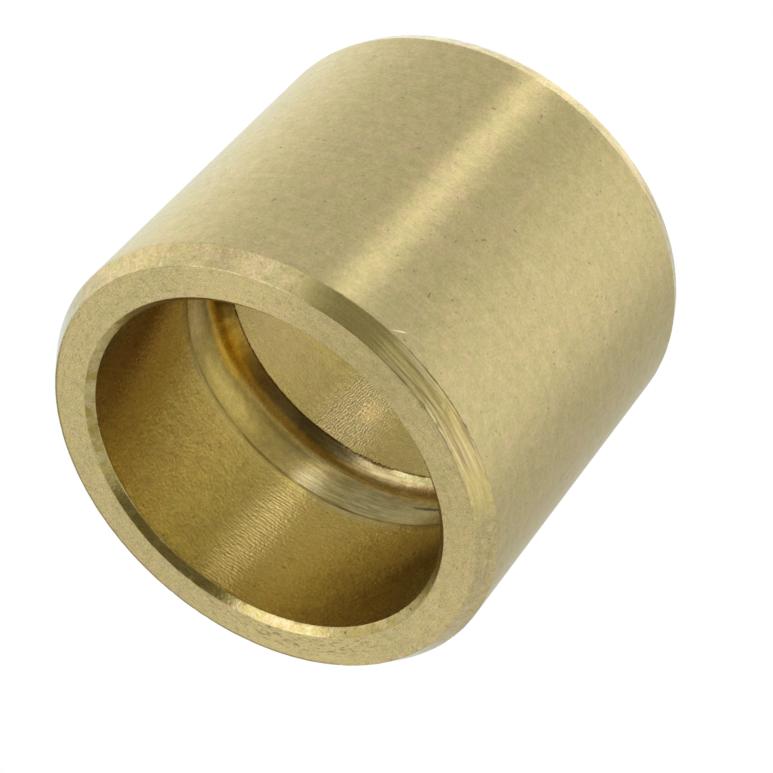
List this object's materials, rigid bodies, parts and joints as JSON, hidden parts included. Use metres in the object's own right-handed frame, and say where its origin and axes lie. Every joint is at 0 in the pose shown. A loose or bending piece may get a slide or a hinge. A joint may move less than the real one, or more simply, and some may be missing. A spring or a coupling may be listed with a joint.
{
  "type": "sleeve bushing",
  "caption": "Plain turned bronze sleeve bushing with a through bore, a lubricant groove inside it and chamfered ends.",
  "frame": {"origin": "centre of the bottom end face, on the bore axis, where the sleeve stands on a surface", "axes": "+Z along the bore axis, from the lead-in end to the chamfered face; X and Y are free because the sleeve is round"},
  "size_m": [0.045, 0.045, 0.04],
  "materials": {
    "bronze": "turned bearing bronze, satin with fine circumferential tool marks"
  },
  "bodies": {
    "root": {"bushing_sleeve": "bronze"}
  },
  "joints": []
}
